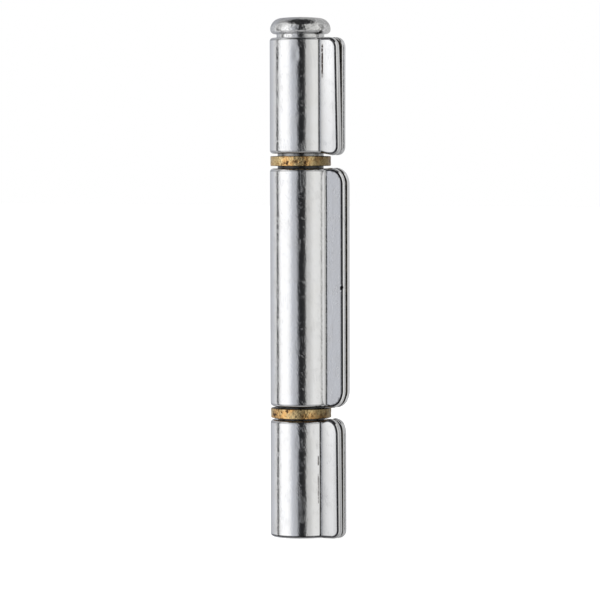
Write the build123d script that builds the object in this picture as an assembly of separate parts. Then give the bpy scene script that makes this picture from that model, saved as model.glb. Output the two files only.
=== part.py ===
"""Weld-on hinge: three leaves folded from steel strip, two brass thrust washers and a headed pin.

Millimetres. +Z runs up the pin axis and the origin is on that axis, at the hinge's lower end.
+X points from the axis along the welding wing of the lower leaf.

Each leaf is one strip of sheet steel, rolled round the pin. Its two tails lean together until
they lie side by side at their tips, and stand out from the barrel. They are the wing that is
welded to a door or a post. The washers turn freely between the leaves, and the pin pulls out
upwards by its head.
"""

import os
from math import atan2, cos, degrees, hypot, radians, sin, sqrt

from build123d import *

# Pin
pin_diameter = 13.3
pin_tip_chamfer = 0.9
neck_height = 1.1  # holds the head clear of the upper leaf, so that it can be prised up
head_inset = 0.14  # radial, of the head's rim behind the barrels of the leaves
head_lower_radius = 1.3  # from the flat underside to the widest line
head_crown_radius = 3.3  # from the widest line to the dome
head_dome_height = 0.3  # of the shallow dome, above the crown's own radius

# Sheet that the leaves are folded from
sheet_thickness = 2.15
bore_clearance = 0.06  # radial, between pin and leaf
crease_radius = 1.2  # outside radius of the bend from barrel to wing
tail_lean = 5.5  # degrees, by which each tail leans in towards the other
tail_gap = 0.1  # left between the two tails at their tips
outer_edge_radius = 0.7  # worn by tumbling, on the side that faces out
inner_edge_radius = 0.3  # on the side that was folded in

# Lower and upper leaf, with the corners of their wings worn unequally
outer_leaf_reach = 14.5  # from the pin axis to the inner corner of a tail's tip
lower_leaf_length = 33.9
lower_leaf_end_corner = 2.5  # of the wing, at the end of the hinge
lower_leaf_washer_corner = 3.7  # of the wing, beside the washer
upper_leaf_length = 33.3
upper_leaf_end_corner = 3.0
upper_leaf_washer_corner = 2.4
upper_leaf_turn = -1.5  # degrees about the pin, from the lower leaf's wing

# Middle leaf, whose tails don't end quite level
middle_leaf_length = 68.6
middle_leaf_back_reach = 14.3
middle_leaf_front_reach = 14.0
middle_leaf_corner = 4.5
middle_leaf_turn = 13.5  # degrees about the pin, from the lower leaf's wing

# Washers
washer_thickness = 2.9
washer_inset = 0.08  # radial, of the washer's rim behind the barrels of the leaves
washer_bore_clearance = 0.1  # radial, between pin and washer
washer_edge_chamfer = 0.2
lower_washer_play = 0.5  # along the pin, above the washer and below it
upper_washer_play = 0.7

# Clearance between the cone under the neck and the rounded mouth of the upper leaf's bore
seat_clearance = 0.02

# Radii of the folded barrel
pin_radius = pin_diameter / 2
bore_radius = pin_radius + bore_clearance
barrel_radius = bore_radius + sheet_thickness

# Heights up the pin
lower_washer_z = lower_leaf_length + lower_washer_play
middle_leaf_z = lower_washer_z + washer_thickness + lower_washer_play
upper_washer_z = middle_leaf_z + middle_leaf_length + upper_washer_play
upper_leaf_z = upper_washer_z + washer_thickness + upper_washer_play
upper_leaf_top = upper_leaf_z + upper_leaf_length

# A 45 degree cone touches a mouth of radius r this share of r wider than the bore
CONE_TOUCH = 2 - sqrt(2)
NEAR = 1e-3


def tail_face_offset(reach):
    """Distance from the pin axis to the plane of a tail's inner face, for tips that meet at this reach."""
    lean = radians(tail_lean)
    return reach * sin(lean) + tail_gap / 2 * cos(lean)


def bend_centre(reach):
    """Centre of the bend between barrel and back tail, as distances along and across that tail."""
    across = tail_face_offset(reach) + sheet_thickness + crease_radius
    along = sqrt((barrel_radius + crease_radius) ** 2 - across**2)
    return along, across


def tail_line(depth, meeting_reach, reach):
    """Tip, tail and bend of the back tail, at a depth below the sheet's outside surface."""
    lean = radians(tail_lean)
    inner = tail_face_offset(meeting_reach)
    along, across = bend_centre(meeting_reach)
    tip = (reach - inner * sin(lean)) / cos(lean)
    height = inner + sheet_thickness - depth
    turn = degrees(atan2(across, along)) - 90
    tail = Line((tip, height), (along, height))
    bend = CenterArc((along, across), crease_radius + depth, 270, turn)
    return Rot(0, 0, -tail_lean) * Wire([tail, bend])


def surface_line(depth, back_reach, front_reach):
    """The folded strip seen from its end: back tail, barrel and front tail, at one depth."""
    meeting_reach = max(back_reach, front_reach)
    along, across = bend_centre(meeting_reach)
    start = degrees(atan2(across, along)) - tail_lean
    barrel = CenterArc((0, 0), barrel_radius - depth, start, 360 - 2 * start)
    back = tail_line(depth, meeting_reach, back_reach)
    front = mirror(tail_line(depth, meeting_reach, front_reach), about=Plane.XZ)
    return Wire([*back.edges(), barrel, *front.edges()])


def cut_edges(leaf, line, bend_x):
    """Edges on one surface of the sheet where the blank was cut. The bend lines aren't among them."""

    def was_cut(edge):
        middle = edge @ 0.5
        upright = abs(edge.tangent_at(0.5).Z) > 1 - NEAR
        on_surface = line.distance_to(Vertex(middle.X, middle.Y, 0)) < NEAR
        return on_surface and not (upright and middle.X < bend_x + NEAR)

    return leaf.edges().filter_by(was_cut)


def folded_leaf(length, back_reach, front_reach, lower_corner, upper_corner):
    """One leaf with its lower end at z = 0 and its wing along +X."""
    outside = surface_line(0, back_reach, front_reach)
    inside = surface_line(sheet_thickness, back_reach, front_reach)
    back_tip = Line(outside @ 0, inside @ 0)
    front_tip = Line(outside @ 1, inside @ 1)
    section = Face(Wire([*outside.edges(), *inside.edges(), back_tip, front_tip]))
    leaf = extrude(section, amount=length)
    leaf = fillet(leaf.edges().group_by(Axis.Z)[0].sort_by(Axis.X)[-2:], lower_corner)
    leaf = fillet(leaf.edges().group_by(Axis.Z)[-1].sort_by(Axis.X)[-2:], upper_corner)
    bend_x = hypot(*bend_centre(max(back_reach, front_reach)))
    leaf = fillet(cut_edges(leaf, outside, bend_x), outer_edge_radius)
    return fillet(cut_edges(leaf, inside, bend_x), inner_edge_radius)


def outer_leaf(length, end_corner, washer_corner):
    """Leaf with its lower end at the end of the hinge, and its upper end beside a washer."""
    return folded_leaf(length, outer_leaf_reach, outer_leaf_reach, end_corner, washer_corner)


def lower_leaf():
    return outer_leaf(lower_leaf_length, lower_leaf_end_corner, lower_leaf_washer_corner)


def upper_leaf():
    """Upper leaf in its place, turned end for end."""
    leaf = outer_leaf(upper_leaf_length, upper_leaf_end_corner, upper_leaf_washer_corner)
    return Pos(0, 0, upper_leaf_top) * Rot(0, 0, upper_leaf_turn) * Rot(180, 0, 0) * leaf


def middle_leaf():
    return folded_leaf(
        middle_leaf_length,
        middle_leaf_back_reach,
        middle_leaf_front_reach,
        middle_leaf_corner,
        middle_leaf_corner,
    )


def washer():
    """Plain brass ring with its lower face at z = 0."""
    bore = pin_radius + washer_bore_clearance
    rim = barrel_radius - washer_inset
    section = Pos((bore + rim) / 2, washer_thickness / 2) * Rectangle(
        rim - bore, washer_thickness
    )
    section = chamfer(section.vertices(), washer_edge_chamfer)
    return revolve(Plane.XZ * section, Axis.Z)


def head_outline(underside):
    """Underside, rim and domed top of the pin's head, from the neck side to the axis."""
    rim = barrel_radius - head_inset
    lower_x = rim - head_lower_radius
    crown_x = rim - head_crown_radius
    widest = underside + head_lower_radius
    rise = head_crown_radius + head_dome_height
    dome_radius = (crown_x**2 + rise**2 - head_crown_radius**2) / (2 * head_dome_height)
    crown_turn = degrees(atan2(dome_radius - rise, crown_x))
    lower = CenterArc((lower_x, widest), head_lower_radius, 270, 90)
    crown = CenterArc((crown_x, widest), head_crown_radius, 0, crown_turn)
    dome = TangentArc(crown @ 1, (0, widest + rise), tangent=crown % 1)
    return [lower, crown, dome]


def hinge_pin():
    """Pin from z = 0 up through all three leaves, with a neck and a mushroom head above them."""
    neck_radius = bore_radius + CONE_TOUCH * inner_edge_radius - seat_clearance
    cone_foot = upper_leaf_top - (neck_radius - pin_radius)
    underside = upper_leaf_top + neck_height
    head = head_outline(underside)
    stem = Polyline(
        head[-1] @ 1,
        (0, 0),
        (pin_radius - pin_tip_chamfer, 0),
        (pin_radius, pin_tip_chamfer),
        (pin_radius, cone_foot),
        (neck_radius, upper_leaf_top),
        (neck_radius, underside),
        head[0] @ 0,
    )
    section = Face(Wire([*stem.edges(), *head]))
    return revolve(Plane.XZ * section, Axis.Z)


def hinge():
    """All sub-parts in place, by node name."""
    return {
        "lower_leaf": lower_leaf(),
        "lower_washer": Pos(0, 0, lower_washer_z) * washer(),
        "middle_leaf": Pos(0, 0, middle_leaf_z) * Rot(0, 0, middle_leaf_turn) * middle_leaf(),
        "upper_washer": Pos(0, 0, upper_washer_z) * washer(),
        "upper_leaf": upper_leaf(),
        "hinge_pin": hinge_pin(),
    }


os.makedirs("parts", exist_ok=True)
for node, shape in hinge().items():
    export_step(shape, f"parts/{node}.step")
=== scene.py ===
"""Looks of the weld-on hinge: bright zinc leaves, a satin pin and dull brass washers.

Metres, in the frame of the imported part: +Z up the pin, +X along the lower leaf's wing.
"""

from math import atan2, cos, degrees, pi, radians, sin, sqrt

import bmesh
import bpy
from mathutils import Matrix, Vector


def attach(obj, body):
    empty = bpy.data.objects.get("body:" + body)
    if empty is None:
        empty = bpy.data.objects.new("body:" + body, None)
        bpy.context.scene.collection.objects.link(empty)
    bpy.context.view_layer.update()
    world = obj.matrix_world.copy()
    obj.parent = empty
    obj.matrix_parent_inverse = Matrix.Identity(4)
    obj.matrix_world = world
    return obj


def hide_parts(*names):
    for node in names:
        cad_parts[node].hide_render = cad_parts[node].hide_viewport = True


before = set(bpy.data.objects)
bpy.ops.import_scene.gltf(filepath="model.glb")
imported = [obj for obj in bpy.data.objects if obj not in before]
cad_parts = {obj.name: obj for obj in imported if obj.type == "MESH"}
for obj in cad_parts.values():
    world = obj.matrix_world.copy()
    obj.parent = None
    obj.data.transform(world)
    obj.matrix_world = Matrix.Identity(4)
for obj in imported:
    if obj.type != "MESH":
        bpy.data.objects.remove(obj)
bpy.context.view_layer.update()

MM = 0.001

# Camera, worked out from the photograph's frame of 600 by 600 pixels
PHOTO_SIZE = 600
PIXELS_PER_METRE = 3462.0  # at the pin axis
AXIS_PIXEL = 300.96  # column of the pin axis, halfway down
AXIS_LEAN = 0.0021  # columns by which the pin axis moves to the left with each row up
CENTRE_HEIGHT = 0.0684  # on the pin axis, halfway down the frame
CAMERA_HEIGHT = 0.1088
CAMERA_AZIMUTH = radians(33.5)  # from looking along +Y
CAMERA_DISTANCE = 1.0
CAMERA_ROLL = radians(0.12)  # so that the hinge leans a little to the left
VIEW_SLOPE = 0.04  # by which the camera looks down on the hinge

# Sizes of the folded leaves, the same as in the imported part
SHEET = 2.15 * MM
BARREL_RADIUS = 8.86 * MM
CREASE_RADIUS = 1.2 * MM
TAIL_LEAN = radians(5.5)
TAIL_GAP = 0.1 * MM

# Roundings of the sheet's cut edges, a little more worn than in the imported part
OUTER_ROUNDING = 0.95 * MM  # on the side that faces out
INNER_ROUNDING = 0.45 * MM  # on the side that was folded in
ROUNDING_STEPS = 8

# How a leaf is divided into faces, small enough for dents
BARREL_STEPS = 160
BEND_STEPS = 14
ROW = 0.5 * MM  # height of the rows
PLAIN_END = 1.6 * MM  # of each end, which has no rows
WING_START = 9 * MM  # from the axis
TAIL_COLUMNS = 9.9, 10.6, 11.3, 12.0, 12.7  # millimetres from the axis

# Sizes of the pin in millimetres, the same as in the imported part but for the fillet
PIN_RADIUS = 6.65
PIN_TIP_CHAMFER = 0.9
PIN_RINGS = 33.0, 38.6, 105.6, 111.5  # heights at which the plain stem is divided
UPPER_LEAF_TOP = 144.0
NECK_RADIUS = 6.866
NECK_RING = 144.5
NECK_FILLET = 0.3
HEAD_UNDERSIDE = 145.1
HEAD_RADIUS = 8.72
HEAD_LOWER_RADIUS = 1.3
HEAD_CROWN_RADIUS = 3.3
CROWN_TURN = 83.66  # degrees round the crown, to where the dome starts
DOME_RADIUS = 52.4
HEAD_TOP = 150

UP = Vector((0, 0, 1))
NEAR = 1e-5

TOWARDS_CAMERA = Vector((sin(CAMERA_AZIMUTH), -cos(CAMERA_AZIMUTH), 0))
TO_THE_RIGHT = Vector((cos(CAMERA_AZIMUTH), sin(CAMERA_AZIMUTH), 0))


def node(tree, kind, inputs=None, **settings):
    """Adds a shader node, with values or links for its inputs and settings for the rest."""
    made = tree.nodes.new(kind)
    for name, value in settings.items():
        setattr(made, name, value)
    for name, value in (inputs or {}).items():
        socket = made.inputs[name]
        if isinstance(value, bpy.types.NodeSocket):
            tree.links.new(value, socket)
        else:
            socket.default_value = value
    return made


def maths(tree, operation, *values, clamp=False):
    """Result of a Math node on one to three values or links."""
    made = node(tree, "ShaderNodeMath", dict(enumerate(values)), operation=operation)
    made.use_clamp = clamp
    return made.outputs[0]


def new_material(name):
    """An empty node material with its Principled BSDF, both ready for links."""
    material = bpy.data.materials.new(name)
    material.use_nodes = True
    tree = material.node_tree
    return material, tree, tree.nodes["Principled BSDF"]


def group(name, inputs, outputs):
    """An empty shader node group with named sockets, and its two ends."""
    tree = bpy.data.node_groups.new(name, "ShaderNodeTree")
    for socket, value in inputs.items():
        kind = "NodeSocketVector" if value is None else "NodeSocketFloat"
        made = tree.interface.new_socket(socket, in_out="INPUT", socket_type=kind)
        if value is not None:
            made.default_value = value
    for socket in outputs:
        kind = "NodeSocketVector" if socket == "Place" else "NodeSocketFloat"
        tree.interface.new_socket(socket, in_out="OUTPUT", socket_type=kind)
    given = tree.nodes.new("NodeGroupInput").outputs
    return tree, given, tree.nodes.new("NodeGroupOutput").inputs


def blend(tree, value, low, high, to_low=0.0, to_high=1.0):
    """Smooth step of a value, from one result to another."""
    inputs = {"Value": value, "From Min": low, "From Max": high}
    inputs |= {"To Min": to_low, "To Max": to_high}
    made = node(tree, "ShaderNodeMapRange", inputs, interpolation_type="SMOOTHSTEP")
    return made.outputs["Result"]


def noise(tree, place, scale, detail=2.0, roughness=0.5):
    inputs = {"Vector": place, "Scale": scale, "Detail": detail, "Roughness": roughness}
    return node(tree, "ShaderNodeTexNoise", inputs).outputs["Fac"]


def mix_colour(tree, factor, first, second, blend_type="MIX"):
    inputs = {"Factor": factor, 6: first, 7: second}
    made = node(tree, "ShaderNodeMix", inputs, data_type="RGBA", blend_type=blend_type)
    return made.outputs[2]


def darken(tree, colour, tone):
    """A colour times a tone, which is 1 where it stays as it is."""
    return mix_colour(tree, 1.0, colour, tone, "MULTIPLY")


def round_the_pin_group():
    """
    Where a point is on the unrolled strip, from Object coordinates, in millimetres.

    Place runs along the strip from the barrel's far side, a little with the depth, and up. Out is
    the distance from the pin axis.
    """
    tree, given, result = group("round_the_pin", {"Object": None}, ("Place", "Out", "Up"))
    part = node(tree, "ShaderNodeSeparateXYZ", {0: given["Object"]}).outputs
    flat = node(tree, "ShaderNodeCombineXYZ", {0: part[0], 1: part[1]}).outputs[0]
    length = node(tree, "ShaderNodeVectorMath", {0: flat}, operation="LENGTH").outputs["Value"]
    out = maths(tree, "MULTIPLY", length, 1 / MM)
    up = maths(tree, "MULTIPLY", part[2], 1 / MM)
    back = [maths(tree, "MULTIPLY", part[axis], -1.0) for axis in (1, 0)]
    turn = maths(tree, "ARCTAN2", *back)
    along = maths(tree, "MULTIPLY", turn, BARREL_RADIUS / MM)
    past_the_barrel = maths(tree, "SUBTRACT", out, BARREL_RADIUS / MM)
    past_the_barrel = maths(tree, "MAXIMUM", past_the_barrel, 0.0)
    along = maths(tree, "MULTIPLY_ADD", past_the_barrel, maths(tree, "SIGN", turn), along)
    depth = maths(tree, "MULTIPLY", out, 0.1)
    place = node(tree, "ShaderNodeCombineXYZ", {0: along, 1: depth, 2: up}).outputs[0]
    for socket, value in (("Place", place), ("Out", out), ("Up", up)):
        tree.links.new(value, result[socket])
    return tree


def stretched(tree, given):
    """Place turned by Slant and divided by Width and Length, for noise that is longer one way."""
    turned = {"Vector": given["Place"], "Angle": given["Slant"]}
    turned = node(tree, "ShaderNodeVectorRotate", turned, rotation_type="Y_AXIS").outputs[0]
    sizes = {0: given["Width"], 1: given["Width"], 2: given["Length"]}
    sizes = node(tree, "ShaderNodeCombineXYZ", sizes).outputs[0]
    return node(tree, "ShaderNodeVectorMath", {0: turned, 1: sizes}, operation="DIVIDE").outputs[0]


def grain_group():
    """Fine grain from tumbling, longer one way than the other: height from 0 to 1."""
    inputs = {"Place": None, "Width": 0.3, "Length": 0.6, "Slant": 0.6}
    tree, given, result = group("tumbled_grain", inputs, ("Height",))
    tree.links.new(noise(tree, stretched(tree, given), 1.0, 2.0, 0.6), result["Height"])
    return tree


def scratches_group():
    """Hairline scratches that lie in patches: 1 on a scratch, 0 elsewhere."""
    inputs = {"Place": None, "Width": 0.25, "Length": 5.0, "Slant": 0.0, "Patch": 4.0, "Bare": 0.5}
    tree, given, result = group("hairline_scratches", inputs, ("Mask",))
    # A scratch runs where the noise crosses its middle value
    wave = maths(tree, "SUBTRACT", noise(tree, stretched(tree, given), 1.0, 1.0), 0.5)
    line = blend(tree, maths(tree, "ABSOLUTE", wave), 0.0, 0.03, 1.0, 0.0)
    patches = maths(tree, "DIVIDE", 1.0, given["Patch"])
    patches = noise(tree, given["Place"], patches, 1.0)
    fade = blend(tree, patches, given["Bare"], maths(tree, "ADD", given["Bare"], 0.12))
    tree.links.new(maths(tree, "MULTIPLY", line, fade), result["Mask"])
    return tree


def blotches_group():
    """Soft patches of one size: 0 between them, 1 in their middles."""
    inputs = {"Place": None, "Size": 3.0, "From": 0.4, "To": 0.6}
    tree, given, result = group("soft_blotches", inputs, ("Mask",))
    cells = maths(tree, "DIVIDE", 1.0, given["Size"])
    patches = noise(tree, given["Place"], cells, 3.0, 0.55)
    tree.links.new(blend(tree, patches, given["From"], given["To"]), result["Mask"])
    return tree


def knocks_group():
    """Small knocks side by side, as on hammered metal: height from 0 to 1."""
    inputs = {"Place": None, "Size": 0.8, "Ragged": 0.5}
    tree, given, result = group("small_knocks", inputs, ("Height",))
    ragged = {"Vector": given["Place"], "Scale": 2.5, "Detail": 2.0}
    ragged = node(tree, "ShaderNodeTexNoise", ragged).outputs["Color"]
    shift = {0: ragged, 1: (0.5, 0.5, 0.5)}
    shift = node(tree, "ShaderNodeVectorMath", shift, operation="SUBTRACT")
    shift = {0: shift.outputs[0], "Scale": given["Ragged"]}
    shift = node(tree, "ShaderNodeVectorMath", shift, operation="SCALE").outputs[0]
    moved = node(tree, "ShaderNodeVectorMath", {0: given["Place"], 1: shift}).outputs[0]
    cells = maths(tree, "DIVIDE", 1.0, given["Size"])
    cells = {"Vector": moved, "Scale": cells, "Smoothness": 0.6}
    cells = node(tree, "ShaderNodeTexVoronoi", cells, feature="SMOOTH_F1").outputs["Distance"]
    tree.links.new(cells, result["Height"])
    return tree


def effect(tree, name, **values):
    """One of the shared effects, placed in a material with its own values."""
    inputs = {socket.replace("_", " "): value for socket, value in values.items()}
    return node(tree, "ShaderNodeGroup", inputs, node_tree=EFFECTS[name]).outputs


EFFECTS = {
    "round_the_pin": round_the_pin_group(),
    "grain": grain_group(),
    "scratches": scratches_group(),
    "blotches": blotches_group(),
    "knocks": knocks_group(),
}


def placed(tree):
    """Where a point is: its place round the pin, its radius and its height, in millimetres."""
    here = node(tree, "ShaderNodeTexCoord").outputs["Object"]
    found = effect(tree, "round_the_pin", Object=here)
    return found["Place"], found["Out"], found["Up"]


def bump(tree, height, distance, normal=None):
    inputs = {"Height": height, "Distance": distance}
    if normal:
        inputs["Normal"] = normal
    return node(tree, "ShaderNodeBump", inputs).outputs["Normal"]


def ramp(tree, place, stops):
    """Colours along a value from 0 to 1, straight from each stop to the next."""
    made = node(tree, "ShaderNodeValToRGB", {"Fac": place})
    elements = made.color_ramp.elements
    elements.remove(elements[1])
    for index, (spot, colour) in enumerate(stops):
        stop = elements[0] if index == 0 else elements.new(spot)
        stop.position = spot
        stop.color = (*colour, 1)
    return made.outputs["Color"]


def curve(tree, value, stops):
    """Grey tone by a value, through stops of value and tone."""
    low, high = stops[0][0], stops[-1][0]
    place = maths(tree, "DIVIDE", maths(tree, "SUBTRACT", value, low), high - low)
    return ramp(tree, place, [((at - low) / (high - low), (tone,) * 3) for at, tone in stops])


# Painted shade on a wing's faces, by distance from the axis and by height up the hinge
PAINTED_SHADE_ACROSS_THE_WING = [
    (8.95, 1.0),
    (9.15, 0.62),
    (9.5, 0.6),
    (10.0, 0.76),
    (10.7, 0.9),
    (11.6, 0.99),
    (12.6, 1.0),
    (13.2, 0.9),
    (13.6, 0.86),
    (14.0, 1.0),
]
PAINTED_SHADE_UP_THE_WINGS = [
    (0.0, 0.72),
    (24.0, 0.77),
    (33.9, 0.86),
    (37.8, 1.0),
    (106.4, 1.0),
    (110.7, 0.78),
    (126.0, 0.88),
    (138.0, 1.0),
    (144.0, 1.0),
]

# By height, how much the wings' painted shade counts: 1 at the outer leaves, 0 at the middle leaf
PAINTED_SHADE_ON_OUTER_LEAVES = [(0.0, 1.0), (35.0, 1.0), (37.0, 0.0), (107.0, 0.0), (110.0, 1.0), (144.0, 1.0)]

# Broken marks beside a bend, in millimetres: place and width of their line, strength by height
CHIPS = 9.86, 0.5, [(132.0, 0.0), (133.5, 1.0), (141.4, 1.0), (142.2, 0.0)]
PITS = 24.3, 0.4, [
    (9.9, 0.0),
    (10.4, 0.6),
    (18.3, 0.7),
    (18.8, 0.0),
    (20.9, 0.0),
    (21.4, 0.8),
    (23.5, 0.8),
    (24.0, 0.0),
]

WING_FROM = 9.1, 9.4  # millimetres from the axis, where the looks of the wing set in

# Scratches of the zinc sheet, the pin and the brass, in millimetres and radians
UPRIGHT_HAIRS = {"Width": 0.3, "Length": 12.0, "Slant": 0.06, "Patch": 4.0, "Bare": 0.52}
SLANTED_HAIRS = {"Width": 0.34, "Length": 5.0, "Slant": 0.7, "Patch": 1.4, "Bare": 0.52}
PIN_HAIRS = {"Width": 0.3, "Length": 2.5, "Slant": 1.3, "Patch": 2.5, "Bare": 0.45}
BRASS_STROKES = {"Width": 0.5, "Length": 3.0, "Slant": 0.9, "Patch": 2.2, "Bare": 0.45}

# Colours of the zinc sheet
CLEAN_ZINC = (0.935, 0.94, 0.955, 1)
CLOUDED_ZINC = (0.915, 0.915, 0.92, 1)
SCRATCHED_ZINC = (0.6, 0.6, 0.61, 1)
CHIPPED_ZINC = (0.06, 0.045, 0.04, 1)
# Painted dark line on the rounded edges
PAINTED_EDGE_DARK = (0.04, 0.04, 0.045, 1)
# Painted shade between the two tails, darker and paler in patches
FOLD_SHADE_DARK = (0.06, 0.056, 0.05, 1)
FOLD_SHADE_PALE = (0.2, 0.18, 0.15, 1)


def bright_zinc():
    """Bright zinc over polished sheet, with tumbling marks, hairlines, duller wings and painted
    shade.
    """
    material, tree, shader = new_material("bright_zinc")
    place, out, up = placed(tree)
    along = node(tree, "ShaderNodeSeparateXYZ", {0: place}).outputs[0]
    blotches = effect(tree, "blotches", Place=place, Size=5.0, From=0.35, To=0.68)["Mask"]
    grain = effect(tree, "grain", Place=place, Width=0.42, Length=0.85, Slant=0.6)["Height"]
    upright = effect(tree, "scratches", Place=place, **UPRIGHT_HAIRS)["Mask"]
    slanted = effect(tree, "scratches", Place=place, **SLANTED_HAIRS)["Mask"]
    hairs = maths(tree, "MAXIMUM", upright, slanted)
    broken = noise(tree, place, 0.9, 3.0)

    def marks_along(position, middle, width, heights):
        """Broken dark marks along a line up the front, at some heights only."""
        aside = maths(tree, "ABSOLUTE", maths(tree, "SUBTRACT", position, middle))
        near = blend(tree, aside, 0.3 * width, width, 1.0, 0.0)
        marks = blend(tree, maths(tree, "MULTIPLY", near, broken), 0.36, 0.43)
        marks = maths(tree, "MULTIPLY", marks, curve(tree, up, heights))
        on_the_front = maths(tree, "GREATER_THAN", along, 0.0)
        return maths(tree, "MULTIPLY", marks, on_the_front)

    colour = mix_colour(tree, blotches, CLEAN_ZINC, CLOUDED_ZINC)
    colour = mix_colour(tree, maths(tree, "MULTIPLY", hairs, 0.15), colour, SCRATCHED_ZINC)
    wing = blend(tree, out, *WING_FROM)
    # Painted shade on the outer leaves' wings, darker beside the bend and towards each leaf's lower
    # end
    tone = darken(tree, curve(tree, out, PAINTED_SHADE_ACROSS_THE_WING), curve(tree, up, PAINTED_SHADE_UP_THE_WINGS))
    painted_shade_weight = maths(tree, "MULTIPLY", wing, curve(tree, up, PAINTED_SHADE_ON_OUTER_LEAVES))
    colour = mix_colour(tree, painted_shade_weight, colour, darken(tree, colour, tone))
    chips = maths(tree, "MAXIMUM", marks_along(out, *CHIPS), marks_along(along, *PITS))
    colour = mix_colour(tree, chips, colour, CHIPPED_ZINC)
    # Painted dark line along the rounded edges, broken up by the grain
    painted_edge_shade = node(tree, "ShaderNodeAttribute", attribute_name="painted_dark_edge").outputs["Fac"]
    painted_edge_shade = maths(tree, "MULTIPLY", painted_edge_shade, blend(tree, grain, 0.25, 0.5, 0.6, 0.95))
    colour = mix_colour(tree, painted_edge_shade, colour, PAINTED_EDGE_DARK)
    tree.links.new(colour, shader.inputs["Base Color"])

    rough = maths(tree, "MULTIPLY_ADD", blotches, 0.03, 0.05)
    rough = maths(tree, "MULTIPLY_ADD", hairs, 0.22, rough)
    rough = maths(tree, "MULTIPLY_ADD", wing, 0.05, rough)
    tree.links.new(rough, shader.inputs["Roughness"])

    tall = node(tree, "ShaderNodeVectorMath", {0: place, 1: (1, 1, 0.35)}, operation="MULTIPLY")
    waves = noise(tree, tall.outputs[0], 0.3, 1.0)
    normal = bump(tree, waves, 0.04 * MM)
    normal = bump(tree, grain, 0.032 * MM, normal)
    normal = bump(tree, hairs, -0.006 * MM, normal)
    tree.links.new(normal, shader.inputs["Normal"])
    shader.inputs["Metallic"].default_value = 1.0
    return material


def painted_shade_in_the_fold():
    """Painted shade on the strip's hidden side between the tails: dark grey, mottled and dull."""
    material, tree, shader = new_material("painted_shade_in_the_fold")
    place = placed(tree)[0]
    blotches = effect(tree, "blotches", Place=place, Size=2.0, From=0.35, To=0.65)["Mask"]
    colour = mix_colour(tree, blotches, FOLD_SHADE_DARK, FOLD_SHADE_PALE)
    tree.links.new(colour, shader.inputs["Base Color"])
    tree.links.new(maths(tree, "MULTIPLY_ADD", blotches, -0.2, 0.65), shader.inputs["Roughness"])
    grain = effect(tree, "grain", Place=place, Width=0.25, Length=0.4, Slant=0.3)["Height"]
    tree.links.new(bump(tree, grain, 0.02 * MM), shader.inputs["Normal"])
    shader.inputs["Metallic"].default_value = 0.9
    return material


# Colours of the pin
CLEAN_PIN = (0.97, 0.97, 0.97, 1)
CLOUDED_PIN = (0.86, 0.86, 0.86, 1)
SCRATCHED_PIN = (0.3, 0.3, 0.3, 1)

# Tone of the pin by height: painted shade, nearly black, beside the washers, brightest at the neck
PAINTED_SHADE_UP_THE_PIN = [
    (0.0, 0.7),
    (31.0, 0.65),
    (32.6, 0.08),
    (39.2, 0.08),
    (40.8, 0.65),
    (103.4, 0.65),
    (105.0, 0.08),
    (108.0, 0.08),
    (109.5, 0.45),
    (111.5, 0.45),
    (113.5, 0.7),
    (142.5, 0.8),
    (143.6, 1.0),
    (147.0, 1.0),
    (147.9, 0.8),
    (150.0, 0.84),
]
PAINTED_SHADE_RAGGED = 1.2  # millimetres by which the painted shade ends higher or lower


def satin_zinc():
    """Zinc over the forged pin: satin, knocked all over its head, with painted shade beside the
    washers.
    """
    material, tree, shader = new_material("satin_zinc")
    up = placed(tree)[2]
    here = node(tree, "ShaderNodeTexCoord").outputs["Object"]
    place = {0: here, "Scale": 1 / MM}
    place = node(tree, "ShaderNodeVectorMath", place, operation="SCALE").outputs[0]
    blotches = effect(tree, "blotches", Place=place, Size=3.0, From=0.38, To=0.64)["Mask"]
    grain = effect(tree, "grain", Place=place, Width=0.28, Length=0.45, Slant=0.9)["Height"]
    hairs = effect(tree, "scratches", Place=place, **PIN_HAIRS)["Mask"]
    colour = mix_colour(tree, blotches, CLEAN_PIN, CLOUDED_PIN)
    colour = darken(tree, colour, blend(tree, grain, 0.3, 0.6, 0.62, 1.0))
    colour = mix_colour(tree, maths(tree, "MULTIPLY", hairs, 0.4), colour, SCRATCHED_PIN)
    uneven = maths(tree, "SUBTRACT", up, PAINTED_SHADE_RAGGED)
    ragged = noise(tree, place, 0.3, 3.0)
    uneven = maths(tree, "MULTIPLY_ADD", ragged, 2 * PAINTED_SHADE_RAGGED, uneven)
    # Painted shade beside the washers, where the metal also gives way
    tone = curve(tree, uneven, PAINTED_SHADE_UP_THE_PIN)
    tree.links.new(darken(tree, colour, tone), shader.inputs["Base Color"])
    tree.links.new(blend(tree, tone, 0.1, 0.5, 0.1, 1.0), shader.inputs["Metallic"])
    tree.links.new(maths(tree, "MULTIPLY_ADD", blotches, 0.08, 0.14), shader.inputs["Roughness"])
    knocks = effect(tree, "knocks", Place=place, Size=0.9, Ragged=0.6)["Height"]
    on_the_head = blend(tree, up, 145.0, 145.6)
    normal = bump(tree, maths(tree, "MULTIPLY", knocks, on_the_head), 0.07 * MM)
    normal = bump(tree, grain, 0.018 * MM, normal)
    tree.links.new(normal, shader.inputs["Normal"])
    return material


# Colours of the brass
BRIGHT_BRASS = (1.0, 0.75, 0.38, 1)
BROWN_BRASS = (0.95, 0.56, 0.22, 1)
SCRATCHED_BRASS = (0.3, 0.17, 0.08, 1)
DIRT_ON_BRASS = (0.10, 0.055, 0.03, 1)

# Painted shade of a washer by height above its lower face: nearly black at both faces
PAINTED_SHADE_UP_THE_BRASS = [
    (0.0, 0.05),
    (0.08, 0.4),
    (0.22, 1.0),
    (0.5, 0.97),
    (2.6, 0.95),
    (2.75, 0.4),
    (2.88, 0.05),
]
WINGS_SHADE = 21.5, 24.0  # millimetres round a washer, where the shade of the wings begins and ends


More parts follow.
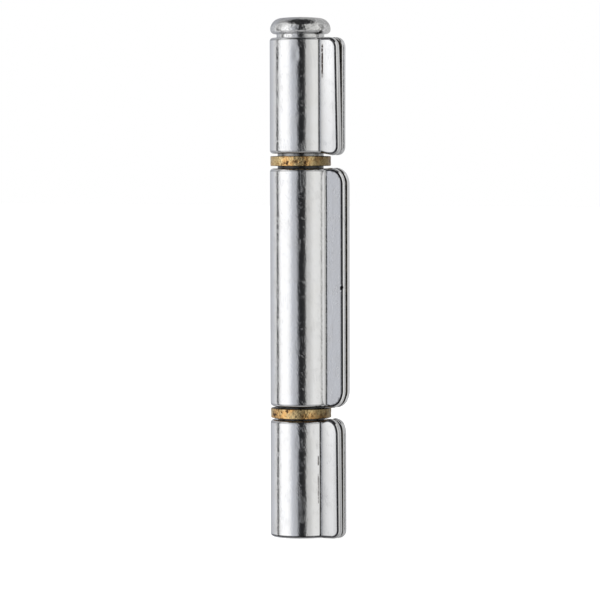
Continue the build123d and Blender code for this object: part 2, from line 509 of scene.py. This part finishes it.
def dull_brass(name, low):
    """Brass of a washer whose lower face is at a height: knocked, brown between bright spots, with
    painted shade.
    """
    material, tree, shader = new_material(name)
    place, _, up = placed(tree)
    along = node(tree, "ShaderNodeSeparateXYZ", {0: place}).outputs[0]
    knocks = effect(tree, "knocks", Place=place, Size=0.75, Ragged=0.9)["Height"]
    grain = effect(tree, "grain", Place=place, Width=0.35, Length=0.9, Slant=0.8)["Height"]
    blotches = effect(tree, "blotches", Place=place, Size=4.0, From=0.42, To=0.58)["Mask"]
    dark = effect(tree, "blotches", Place=place, Size=1.1, From=0.5, To=0.62)["Mask"]
    strokes = effect(tree, "scratches", Place=place, **BRASS_STROKES)["Mask"]
    colour = mix_colour(tree, blotches, BRIGHT_BRASS, BROWN_BRASS)
    colour = darken(tree, colour, blend(tree, grain, 0.34, 0.56, 0.7, 1.0))
    colour = mix_colour(tree, maths(tree, "MULTIPLY", strokes, 0.55), colour, SCRATCHED_BRASS)
    shade = blend(tree, maths(tree, "ABSOLUTE", along), *WINGS_SHADE, 1.0, 0.35)
    colour = darken(tree, colour, shade)
    colour = mix_colour(tree, maths(tree, "MULTIPLY", dark, blotches), colour, DIRT_ON_BRASS)
    # Painted shade at the washer's two faces, where it meets the leaves
    edges = curve(tree, maths(tree, "SUBTRACT", up, low), PAINTED_SHADE_UP_THE_BRASS)
    tree.links.new(darken(tree, colour, edges), shader.inputs["Base Color"])
    tree.links.new(blend(tree, edges, 0.1, 0.4, 0.1, 1.0), shader.inputs["Metallic"])
    tree.links.new(maths(tree, "MULTIPLY_ADD", dark, 0.2, 0.26), shader.inputs["Roughness"])
    normal = bump(tree, knocks, 0.1 * MM)
    normal = bump(tree, grain, 0.02 * MM, normal)
    tree.links.new(normal, shader.inputs["Normal"])
    return material


def pick(mesh_object, wanted, kind="verts"):
    """Selects only the vertices, edges or faces that the test wants."""
    bpy.ops.mesh.select_all(action="DESELECT")
    mode = {"verts": "VERT", "edges": "EDGE", "faces": "FACE"}[kind]
    bpy.ops.mesh.select_mode(type=mode)
    mesh = bmesh.from_edit_mesh(mesh_object.data)
    for element in getattr(mesh, kind):
        element.select_set(wanted(element))
    mesh.select_flush_mode()
    bmesh.update_edit_mesh(mesh_object.data)


def middle_of(element):
    points = [corner.co for corner in element.verts]
    return sum(points, Vector()) / len(points)


def deselect_everything():
    if bpy.context.object and bpy.context.object.mode != "OBJECT":
        bpy.ops.object.mode_set(mode="OBJECT")
    bpy.ops.object.select_all(action="DESELECT")


def arc(centre, radius, start, end, steps):
    """Points of an arc seen from the side, as radius and height, between two angles in degrees."""
    turns = [radians(start + (end - start) * step / steps) for step in range(steps + 1)]
    return [(centre[0] + radius * cos(turn), centre[1] + radius * sin(turn)) for turn in turns]


def turned_piece(name, outline, steps):
    """A piece turned on the pin axis, from its outline as radius and height in millimetres."""
    deselect_everything()
    start = Vector((outline[0][0], 0, outline[0][1])) * MM
    bpy.ops.mesh.primitive_plane_add(size=1 * MM, location=start)
    piece = bpy.context.object
    piece.name = piece.data.name = name
    bpy.ops.object.transform_apply(location=True, rotation=True, scale=True)
    bpy.ops.object.mode_set(mode="EDIT")
    bpy.ops.mesh.select_mode(type="VERT")
    bpy.ops.mesh.select_all(action="SELECT")
    bpy.ops.mesh.merge(type="CENTER")
    for here, there in zip(outline, outline[1:]):
        step = ((there[0] - here[0]) * MM, 0, (there[1] - here[1]) * MM)
        bpy.ops.mesh.extrude_region_move(TRANSFORM_OT_translate={"value": step})
    bpy.ops.mesh.select_all(action="SELECT")
    bpy.ops.mesh.spin(steps=steps, angle=2 * pi, center=(0, 0, 0), axis=UP)
    bpy.ops.mesh.select_all(action="SELECT")
    bpy.ops.mesh.remove_doubles(threshold=NEAR / 10)
    bpy.ops.mesh.normals_make_consistent(inside=False)
    bpy.ops.object.mode_set(mode="OBJECT")
    return piece


def knock(piece, wanted, size, depth):
    """Knocks the chosen part of a surface uneven, never outwards."""
    knocked = piece.vertex_groups.new(name="knocked")
    knocked.add([v.index for v in piece.data.vertices if wanted(v.co / MM)], 1.0, "ADD")
    marks = bpy.data.textures.new(piece.name + "_marks", "CLOUDS")
    marks.noise_scale = size
    marks.noise_depth = 2
    uneven = piece.modifiers.new("uneven", "DISPLACE")
    uneven.texture = marks
    uneven.texture_coords = "LOCAL"
    uneven.vertex_group = knocked.name
    uneven.mid_level = 1.0
    uneven.strength = depth
    bpy.ops.object.modifier_apply(modifier=uneven.name)


def smooth(piece, angle):
    bpy.ops.object.shade_smooth_by_angle(angle=radians(angle))
    even = piece.modifiers.new("even_shading", "WEIGHTED_NORMAL")
    even.keep_sharp = True
    bpy.ops.object.modifier_apply(modifier=even.name)


def stand_for(piece, node_name):
    """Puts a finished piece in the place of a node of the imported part."""
    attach(piece, node_name)
    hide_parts(node_name)


def headed_pin():
    """Pin with its chamfered tip, its neck and a forged head."""
    cone_foot = UPPER_LEAF_TOP - (NECK_RADIUS - PIN_RADIUS)
    widest = HEAD_UNDERSIDE + HEAD_LOWER_RADIUS
    stem = [(0, 0), (PIN_RADIUS - PIN_TIP_CHAMFER, 0)]
    stem += [(PIN_RADIUS, height) for height in (PIN_TIP_CHAMFER, *PIN_RINGS, cone_foot)]
    stem += [(NECK_RADIUS, height) for height in (UPPER_LEAF_TOP, NECK_RING)]
    neck_centre = NECK_RADIUS + NECK_FILLET, HEAD_UNDERSIDE - NECK_FILLET
    lower_centre = HEAD_RADIUS - HEAD_LOWER_RADIUS, widest
    crown_centre = HEAD_RADIUS - HEAD_CROWN_RADIUS, widest
    neck = arc(neck_centre, NECK_FILLET, 180, 90, 4)
    lower = arc(lower_centre, HEAD_LOWER_RADIUS, 270, 360, 9)
    crown = arc(crown_centre, HEAD_CROWN_RADIUS, 0, CROWN_TURN, 20)
    dome = arc((0, HEAD_TOP - DOME_RADIUS), DOME_RADIUS, CROWN_TURN, 90, 18)[1:]
    dome[-1] = (0, HEAD_TOP)
    pin = turned_piece("headed_pin", stem + neck + lower + crown + dome, 180)
    knock(pin, lambda place: place.z > HEAD_UNDERSIDE + 0.1, 1.1 * MM, 0.05 * MM)
    smooth(pin, 35)
    pin.data.materials.append(satin_zinc())
    stand_for(pin, "hinge_pin")


# Each washer, in millimetres: its lower face, and its burrs, each by degrees to the right of the
# camera and by how far it hangs down
WASHERS = {
    "lower_washer": (34.4, ()),
    "upper_washer": (107.1, ((-16, 0.35), (-4, 0.4), (9, 0.2))),
}


def brass_washer(node_name, low, burrs):
    """Plain ring with its lower face at a height, knocked on its rim, with burrs on its edge."""
    bore, rim, edge, thickness = 6.75, 8.78, 0.2, 2.9
    worn, rim_rows = 0.06, 10
    step = (thickness - 2 * edge) / rim_rows
    outline = [(bore, edge), (bore + edge, 0), (rim - edge, 0), (rim - worn, worn)]
    outline += [(rim, edge + step * row) for row in range(rim_rows + 1)]
    outline += [(rim - worn, thickness - worn), (rim - edge, thickness)]
    outline += [(bore + edge, thickness), (bore, thickness - edge), (bore, edge)]
    outline = [(out, low + up) for out, up in outline]
    washer = turned_piece(node_name + "_knocked", outline, 200)
    knock(washer, lambda place: place.xy.length > rim - 0.3, 0.7 * MM, 0.13 * MM)
    if burrs:
        bpy.ops.object.mode_set(mode="EDIT")
        for degrees_right, drop in burrs:
            turn = CAMERA_AZIMUTH + radians(degrees_right)
            spot = Vector((sin(turn) * (rim - 0.1), -cos(turn) * (rim - 0.1), low)) * MM
            press(washer, spot, (0, 0, -drop * MM), 0.5 * MM)
        bpy.ops.object.mode_set(mode="OBJECT")
    smooth(washer, 40)
    washer.data.materials.append(dull_brass(node_name + "_brass", low))
    stand_for(washer, node_name)


def brass_washers():
    for node_name, (low, burrs) in WASHERS.items():
        brass_washer(node_name, low, burrs)


def tail_sizes(reach):
    """Offset of a tail's outer face from the axis and the centre of its bend, in its own frame."""
    offset = reach * sin(TAIL_LEAN) + TAIL_GAP / 2 * cos(TAIL_LEAN) + SHEET
    across = offset + CREASE_RADIUS
    along = sqrt((BARREL_RADIUS + CREASE_RADIUS) ** 2 - across**2)
    return offset, along, across


def round_corner(leaf, corner, radius):
    """Rounds the corner of a tail that lies nearest to a point."""
    mesh = bmesh.from_edit_mesh(leaf.data)
    nearest = min(mesh.verts, key=lambda v: (v.co - corner).length)
    place = nearest.co.copy()
    pick(leaf, lambda v: (v.co - place).length < NEAR)
    bpy.ops.mesh.bevel(offset=radius, segments=10, affect="VERTICES", clamp_overlap=False)


def rolled_leaf(name, low, high, back, front, corners):
    """
    One leaf, rolled from strip between two heights, with its wing along +X.

    back and front are the reaches of each tail's tip at its lower and upper corner, and corners
    are the radii of the wing's corners there.
    """
    furthest = max(*back, *front)
    offset, along, across = tail_sizes(furthest)
    bend = atan2(across, along)

    def in_tail(x, y, z, side):
        """A point given along, across and up the back tail (side 1) or the front tail (-1)."""
        lean = -TAIL_LEAN * side
        turned = x * cos(lean) - side * y * sin(lean), x * sin(lean) + side * y * cos(lean)
        return Vector((*turned, z))

    def tip_at(reach):
        return (reach - (offset - SHEET) * sin(TAIL_LEAN)) / cos(TAIL_LEAN)

    def shape_tip(reaches, side):
        """Moves a tail's two tip corners to their reaches and rounds them."""
        for reach, radius, z in zip(reaches, corners, (low, high)):
            start = in_tail(tip, offset, z, side)
            end = in_tail(tip_at(reach), offset, z, side)
            pick(leaf, lambda v: (v.co - start).length < NEAR)
            bpy.ops.transform.translate(value=end - start)
            round_corner(leaf, end, radius)

    def spin(steps, angle, centre):
        bpy.ops.mesh.spin(steps=steps, angle=angle, center=centre, axis=UP)

    deselect_everything()
    tip = tip_at(furthest)
    centre = in_tail((along + tip) / 2, offset, (low + high) / 2, 1)
    bpy.ops.mesh.primitive_plane_add(size=1, location=centre, rotation=(pi / 2, 0, -TAIL_LEAN))
    leaf = bpy.context.object
    leaf.name = leaf.data.name = name
    leaf.scale = (tip - along, high - low, 1)
    bpy.ops.object.transform_apply(location=True, rotation=True, scale=True)
    bpy.ops.object.mode_set(mode="EDIT")

    inner = in_tail(along, offset, 0, 1)
    pick(leaf, lambda v: (v.co.xy - inner.xy).length < NEAR)
    spin(BEND_STEPS, pi / 2 - bend, in_tail(along, across, 0, 1))
    spin(BARREL_STEPS, 2 * (bend - TAIL_LEAN) - 2 * pi, (0, 0, 0))
    spin(BEND_STEPS, pi / 2 - bend, in_tail(along, across, 0, -1))
    front_tail = in_tail(tip, offset, 0, -1) - in_tail(along, offset, 0, -1)
    bpy.ops.mesh.extrude_region_move(TRANSFORM_OT_translate={"value": front_tail})
    shape_tip(back, 1)
    shape_tip(front, -1)
    bpy.ops.mesh.select_all(action="SELECT")
    bpy.ops.mesh.normals_make_consistent(inside=False)
    mesh = bmesh.from_edit_mesh(leaf.data)
    mesh.faces.ensure_lookup_table()
    behind = min(mesh.faces, key=lambda f: middle_of(f).x)
    if behind.normal.x > 0:
        bpy.ops.mesh.flip_normals()
    bpy.ops.object.mode_set(mode="OBJECT")
    leaf.vertex_groups.new(name="folded_in")
    thick = leaf.modifiers.new("sheet", "SOLIDIFY")
    thick.thickness = SHEET
    thick.offset = -1
    thick.use_even_offset = True
    thick.shell_vertex_group = "folded_in"
    bpy.ops.object.modifier_apply(modifier=thick.name)
    return leaf


# Each leaf, in millimetres and degrees: its lower and upper end, its turn, the reaches of its back
# tail and its front tail at both ends, the radii of the wing's corners, and how far the wing's two
# ends stand out past the barrel's
LEAVES = {
    "lower_leaf": ((0, 33.9), 0, (14.38, 14.38), (14.3, 14.0), (2.5, 3.7), (0, 0.65)),
    "middle_leaf": ((37.8, 106.4), 13.5, (14.3, 14.3), (13.85, 13.85), (4.5, 4.5), (0.5, 0.3)),
    "upper_leaf": ((110.7, 144.0), -1.5, (14.35, 14.5), (14.46, 13.89), (2.4, 3.0), (0.5, 0)),
}

# Where the wing's two ends spread
SPREAD_HEIGHT = 1.5 * MM
SPREAD_START = 10.8 * MM  # from the axis
SPREAD_REACH = 2.6 * MM

# Dents in the barrels: column and row in the photograph, then length, reach and depth, millimetres
DENTS = {
    "lower_leaf": ((297.0, 443, 2.6, 1.0, 0.035), (312.6, 431, 2.0, 1.0, 0.05)),
    "middle_leaf": ((298.3, 203, 3.0, 1.1, 0.018),),
    "upper_leaf": ((295.0, 57.0, 2.6, 1.5, 0.075),),
}

# Nick in the front edge of the middle wing: its place before the leaf is turned, push and reach
NICK = Vector((13.7, -3.0, 72.2)) * MM
NICK_PUSH = (-0.24 * MM, 0.07 * MM, 0)
NICK_REACH = 0.45 * MM

# Painted dark line on the rounded edges: degrees from the flat sheet where it starts and ends, and
# strength
# The line is a painted reflection on the roundings, and at the hinge's foot a painted contact
# shadow
PAINTED_EDGE_LINES = {
    "lower_leaf": (8, 40, 1.0),
    "middle_leaf": (1.5, 28, 2.0),
    "upper_leaf": (8, 40, 1.0),
}
SURE_TURN = 8  # degrees, since less than this may also be the bend or the nick
SURE_FROM = 10  # millimetres from the axis, where the wing is flat
SOFT_START = 0.75  # strength where a line starts below that turn
BARREL_END_LINE = 0.45  # strength at the barrel's ends, beside the washers
BEND_START, BEND_END = 8.16, 9.15  # millimetres from the axis, where the sheet turns into the wing

# Where the two tails lie against each other
FOLD_START = 8 * MM  # from the axis
FOLD_TIP = 14.4 * MM
FOLD_MARGIN = 0.05 * MM
FOLD_LEAST = 0.2 * MM


def finish_leaf(leaf, node_name, low, high, turn, flares):
    """Rounds a leaf's edges, divides it into small faces, works its marks in and turns it."""
    bpy.ops.object.mode_set(mode="EDIT")
    folded_in = leaf.vertex_groups["folded_in"].index
    mesh = bmesh.from_edit_mesh(leaf.data)
    layer = mesh.verts.layers.deform.verify()

    def sharp(edge):
        return edge.calc_face_angle(0) > pi / 3

    def outside(edge):
        return sharp(edge) and not any(folded_in in v[layer] for v in edge.verts)

    pick(leaf, sharp, "edges")
    bpy.ops.transform.edge_bevelweight(value=INNER_ROUNDING / OUTER_ROUNDING)
    pick(leaf, outside, "edges")
    bpy.ops.transform.edge_bevelweight(value=1 - INNER_ROUNDING / OUTER_ROUNDING)
    bpy.ops.object.mode_set(mode="OBJECT")
    rounding = leaf.modifiers.new("rounding", "BEVEL")
    rounding.limit_method = "WEIGHT"
    rounding.width = OUTER_ROUNDING
    rounding.segments = ROUNDING_STEPS
    rounding.use_clamp_overlap = False
    bpy.ops.object.modifier_apply(modifier=rounding.name)
    bpy.ops.object.mode_set(mode="EDIT")

    divided = high - low - 2 * PLAIN_END
    rows = round(divided / ROW)
    for row in range(rows + 1):
        bpy.ops.mesh.select_all(action="SELECT")
        level = low + PLAIN_END + divided * row / rows
        bpy.ops.mesh.bisect(plane_co=(0, 0, level), plane_no=UP)
    for x in TAIL_COLUMNS:
        pick(leaf, lambda f: middle_of(f).x > WING_START and abs(f.normal.y) > 0.9, "faces")
        bpy.ops.mesh.bisect(plane_co=(x * MM, 0, 0), plane_no=(1, 0, 0))
    for flare, end, way in zip(flares, (low, high), (-1, 1)):
        if flare:
            pick(leaf, lambda v: abs(v.co.z - end) < SPREAD_HEIGHT and v.co.x > SPREAD_START)
            stretch((0, 0, way * flare), SPREAD_REACH)
    press_dents(leaf, DENTS[node_name], turn)
    if node_name == "middle_leaf":
        press(leaf, NICK, NICK_PUSH, NICK_REACH)
    # The faces between the tails take the painted shade of the fold
    pick(leaf, in_the_fold, "faces")
    leaf.active_material_index = 1
    bpy.ops.object.material_slot_assign()
    bpy.ops.mesh.select_all(action="SELECT")
    bpy.ops.mesh.normals_make_consistent(inside=False)
    bpy.ops.object.mode_set(mode="OBJECT")
    mark_painted_edges(leaf, *PAINTED_EDGE_LINES[node_name])
    smooth(leaf, 40)
    leaf.rotation_euler = (0, 0, turn)
    bpy.ops.object.transform_apply(location=True, rotation=True, scale=True)


def mark_painted_edges(leaf, start, end, strength):
    """Marks the painted dark line for the material, by how far the surface turns away from the
    sheet.
    """
    across, along = sin(TAIL_LEAN), cos(TAIL_LEAN)
    mark = leaf.data.attributes.new("painted_dark_edge", "FLOAT", "POINT")
    for vertex, value in zip(leaf.data.vertices, mark.data):
        x, y = vertex.co.xy / MM
        flat = Vector((across, along if y > 0 else -along, 0))
        part = min(max((x - BEND_START) / (BEND_END - BEND_START), 0), 1)
        outwards = Vector((x, y, 0)).normalized().lerp(flat, part).normalized()
        turned = degrees(vertex.normal.angle(outwards))
        unsure = x < SURE_FROM or abs(vertex.co.z - NICK.z) < 1 * MM
        if (SURE_TURN if unsure else start) < turned < end:
            wing_or_foot = vertex.co.x > WING_START or vertex.co.z < 1 * MM
            value.value = strength if wing_or_foot else BARREL_END_LINE
            if turned < SURE_TURN:
                value.value = SOFT_START


def on_the_barrel(column, row, turn):
    """Place on the barrel behind a pixel of the photograph, before its leaf is turned."""
    up = PHOTO_SIZE / 2 - row
    aside = (column - (AXIS_PIXEL - 0.5) + AXIS_LEAN * up) / PIXELS_PER_METRE
    near = sqrt(BARREL_RADIUS**2 - aside**2)
    height = CENTRE_HEIGHT + up / PIXELS_PER_METRE + VIEW_SLOPE * near
    place = TO_THE_RIGHT * aside + TOWARDS_CAMERA * near + UP * height
    return Matrix.Rotation(-turn, 3, "Z") @ place


def press_dents(leaf, marks, turn):
    """Presses long dents into the barrel, each in three steps along its length."""
    for column, row, length, reach, depth in marks:
        middle = on_the_barrel(column, row, turn)
        inwards = Vector((-middle.x, -middle.y, 0)).normalized()
        for step in (-0.5, 0, 0.5):
            press(leaf, middle + UP * step * length * MM, inwards * depth * MM, reach * MM)


def in_the_fold(face):
    """Whether a face lies between the two tails, or on the roundings that face each other."""
    middle = middle_of(face)
    gap = TAIL_GAP / 2 + (FOLD_TIP - middle.x) * sin(TAIL_LEAN)
    return middle.x > FOLD_START and abs(middle.y) < max(FOLD_LEAST, gap + FOLD_MARGIN)


def press(piece, place, push, reach):
    """Pushes the surface at its vertex nearest to a place, dying away over a distance."""
    mesh = bmesh.from_edit_mesh(piece.data)
    nearest = min(mesh.verts, key=lambda v: (v.co - place).length).co.copy()
    pick(piece, lambda v: (v.co - nearest).length < NEAR / 10)
    stretch(push, reach)


def stretch(push, reach):
    """Moves the selected vertices, and those near them by less."""
    bpy.ops.transform.translate(
        value=push,
        use_proportional_edit=True,
        proportional_edit_falloff="SMOOTH",
        proportional_size=reach,
    )


def folded_leaves():
    """The three leaves, finer than the solids that they stand for."""
    finishes = bright_zinc(), painted_shade_in_the_fold()
    for node_name, (heights, turn, *sizes, flares) in LEAVES.items():
        low, high = (z * MM for z in heights)
        sizes = [tuple(value * MM for value in pair) for pair in sizes]
        leaf = rolled_leaf(node_name + "_rolled", low, high, *sizes)
        for finish in finishes:
            leaf.data.materials.append(finish)
        flares = [flare * MM for flare in flares]
        finish_leaf(leaf, node_name, low, high, radians(turn), flares)
        stand_for(leaf, node_name)


NEUTRAL = (1.0, 1.0, 1.0)
COOL = (0.925, 0.945, 1.0)
WARM = (1.0, 0.997, 0.975)

# What the metal mirrors at eye level, by degrees to the right of the camera: brightness and tint
ROUND_THE_HINGE = [
    (-180, 0.42, COOL),
    (-132, 0.60, COOL),
    (-110, 0.71, NEUTRAL),
    (-104, 0.66, NEUTRAL),
    (-102, 0.04, NEUTRAL),
    (-95.5, 0.04, NEUTRAL),
    (-92, 0.60, NEUTRAL),
    (-86, 0.92, NEUTRAL),
    (-77, 1.10, NEUTRAL),
    (-54, 1.10, NEUTRAL),
    (-45, 0.96, NEUTRAL),
    (-38, 0.77, COOL),
    (-31, 0.58, COOL),
    (-16, 0.47, COOL),
    (-12, 0.24, COOL),
    (-9, 0.04, COOL),
    (-4, 0.025, COOL),
    (5, 0.02, COOL),
    (15, 0.05, NEUTRAL),
    (18, 0.15, NEUTRAL),
    (21, 0.55, WARM),
    (31, 0.56, WARM),
    (40, 0.70, WARM),
    (52, 0.80, WARM),
    (79, 0.76, WARM),
    (86, 0.24, WARM),
    (90, 0.24, WARM),
    (93, 0.50, NEUTRAL),
    (95, 0.10, NEUTRAL),
    (98, 0.10, NEUTRAL),
    (102, 0.62, NEUTRAL),
    (145, 0.55, NEUTRAL),
]

# The same above eye level, where two soft boxes hang left and right of the camera
OVER_THE_HINGE = [
    (-180, 0.45, COOL),
    (-110, 0.50, NEUTRAL),
    (-95, 1.05, NEUTRAL),
    (-26, 1.05, NEUTRAL),
    (-16, 0.04, NEUTRAL),
    (14, 0.04, NEUTRAL),
    (22, 0.85, WARM),
    (90, 0.85, WARM),
    (110, 0.50, NEUTRAL),
]
DARK_CEILING = (0.03, 0.03, 0.032, 1)
GREY_TABLE = (0.42, 0.42, 0.42, 1)

# Where one of these gives way to the next, as the sine of the angle above eye level
LEVEL_TO_OVER = 0.45, 0.66
LEVEL_TO_TABLE = -0.6, -0.76
OVER_TO_CEILING = 0.79, 0.87
CEILING_SLOPE = 0.2  # by which the ceiling starts lower on the camera's side

FLOOR_SIZE = 12
FLOOR_PAPER = (0.82, 0.82, 0.82, 1)
FLOOR_GLOW = 0.75  # which brings the lit paper up to plain white for the camera


def studio_world():
    """Surroundings for the metal to mirror, and plain white where the camera looks past it."""
    world = bpy.data.worlds.new("studio")
    bpy.context.scene.world = world
    world.use_nodes = True
    tree = world.node_tree
    tree.nodes.clear()
    direction = node(tree, "ShaderNodeTexCoord").outputs["Generated"]

    def along(axis):
        dot = node(tree, "ShaderNodeVectorMath", {0: direction, 1: axis}, operation="DOT_PRODUCT")
        return dot.outputs["Value"]

    def ring(stops):
        """Colours by direction round the hinge."""
        colours = [[brightness * part for part in tint] for _, brightness, tint in stops]
        return ramp(tree, place, zip([(angle + 180) / 360 for angle, *_ in stops], colours))

    height = along(UP)
    frontwards = along(TOWARDS_CAMERA)
    turn = maths(tree, "ARCTAN2", along(TO_THE_RIGHT), frontwards)
    place = maths(tree, "MULTIPLY_ADD", turn, 1 / (2 * pi), 0.5)
    over = blend(tree, height, *LEVEL_TO_OVER)
    colour = mix_colour(tree, over, ring(ROUND_THE_HINGE), ring(OVER_THE_HINGE))
    table = blend(tree, height, *LEVEL_TO_TABLE)
    colour = mix_colour(tree, table, colour, GREY_TABLE)
    steepness = maths(tree, "MULTIPLY_ADD", frontwards, CEILING_SLOPE, height)
    ceiling = blend(tree, steepness, *OVER_TO_CEILING)
    colour = mix_colour(tree, ceiling, colour, DARK_CEILING)
    mirrored = node(tree, "ShaderNodeBackground", {"Color": colour, "Strength": 1.0})
    plain = node(tree, "ShaderNodeBackground", {"Color": (1, 1, 1, 1), "Strength": 1.0})
    seen = node(tree, "ShaderNodeLightPath").outputs["Is Camera Ray"]
    both = {0: seen, 1: mirrored.outputs[0], 2: plain.outputs[0]}
    both = node(tree, "ShaderNodeMixShader", both)
    out = node(tree, "ShaderNodeOutputWorld")
    tree.links.new(both.outputs[0], out.inputs["Surface"])


def pale_floor():
    """White paper that the hinge stands on, and that its metal doesn't mirror."""
    deselect_everything()
    bpy.ops.mesh.primitive_plane_add(size=FLOOR_SIZE, location=(0, 0, 0))
    floor = bpy.context.object
    floor.name = "floor"
    material, tree, shader = new_material("floor_paper")
    shader.inputs["Base Color"].default_value = FLOOR_PAPER
    shader.inputs["Roughness"].default_value = 0.9
    seen = node(tree, "ShaderNodeLightPath").outputs["Is Camera Ray"]
    glow = node(tree, "ShaderNodeEmission", {"Color": (1, 1, 1, 1), "Strength": FLOOR_GLOW})
    none = node(tree, "ShaderNodeEmission", {"Strength": 0.0})
    either = {0: seen, 1: none.outputs[0], 2: glow.outputs[0]}
    either = node(tree, "ShaderNodeMixShader", either)
    total = node(tree, "ShaderNodeAddShader", {0: shader.outputs[0], 1: either.outputs[0]})
    tree.links.new(total.outputs[0], tree.nodes["Material Output"].inputs["Surface"])
    floor.data.materials.append(material)
    floor.visible_glossy = False


def soft_lamp(name, place, size, watts):
    """A square lamp that shines at the hinge's foot, and that the metal doesn't mirror."""
    light = bpy.data.lights.new(name, "AREA")
    light.shape = "SQUARE"
    light.size = size
    light.energy = watts
    lamp = bpy.data.objects.new(name, light)
    bpy.context.scene.collection.objects.link(lamp)
    lamp.location = place
    lamp.rotation_euler = (-Vector(place)).to_track_quat("-Z", "Y").to_euler()
    lamp.visible_glossy = False


def photo_camera():
    """Camera at the photograph's place, with the frame's middle where the photograph has it."""
    metres = PHOTO_SIZE / PIXELS_PER_METRE
    data = bpy.data.cameras.new("photo_camera")
    data.sensor_width = 36
    data.lens = data.sensor_width * CAMERA_DISTANCE / metres
    data.clip_start = 0.01
    camera = bpy.data.objects.new("photo_camera", data)
    bpy.context.scene.collection.objects.link(camera)
    aside = TO_THE_RIGHT * ((PHOTO_SIZE / 2 - AXIS_PIXEL) / PIXELS_PER_METRE)
    target = aside + UP * CENTRE_HEIGHT
    camera.location = aside + TOWARDS_CAMERA * CAMERA_DISTANCE + UP * CAMERA_HEIGHT
    aim = (target - camera.location).to_track_quat("-Z", "Y").to_matrix()
    camera.rotation_euler = (aim @ Matrix.Rotation(-CAMERA_ROLL, 3, "Z")).to_euler()
    bpy.context.scene.camera = camera


folded_leaves()
headed_pin()
brass_washers()
studio_world()
pale_floor()
soft_lamp("window_lamp", (-0.9, -0.7, 1.3), 1.2, 12)
photo_camera()
bpy.context.scene.view_settings.view_transform = "Standard"
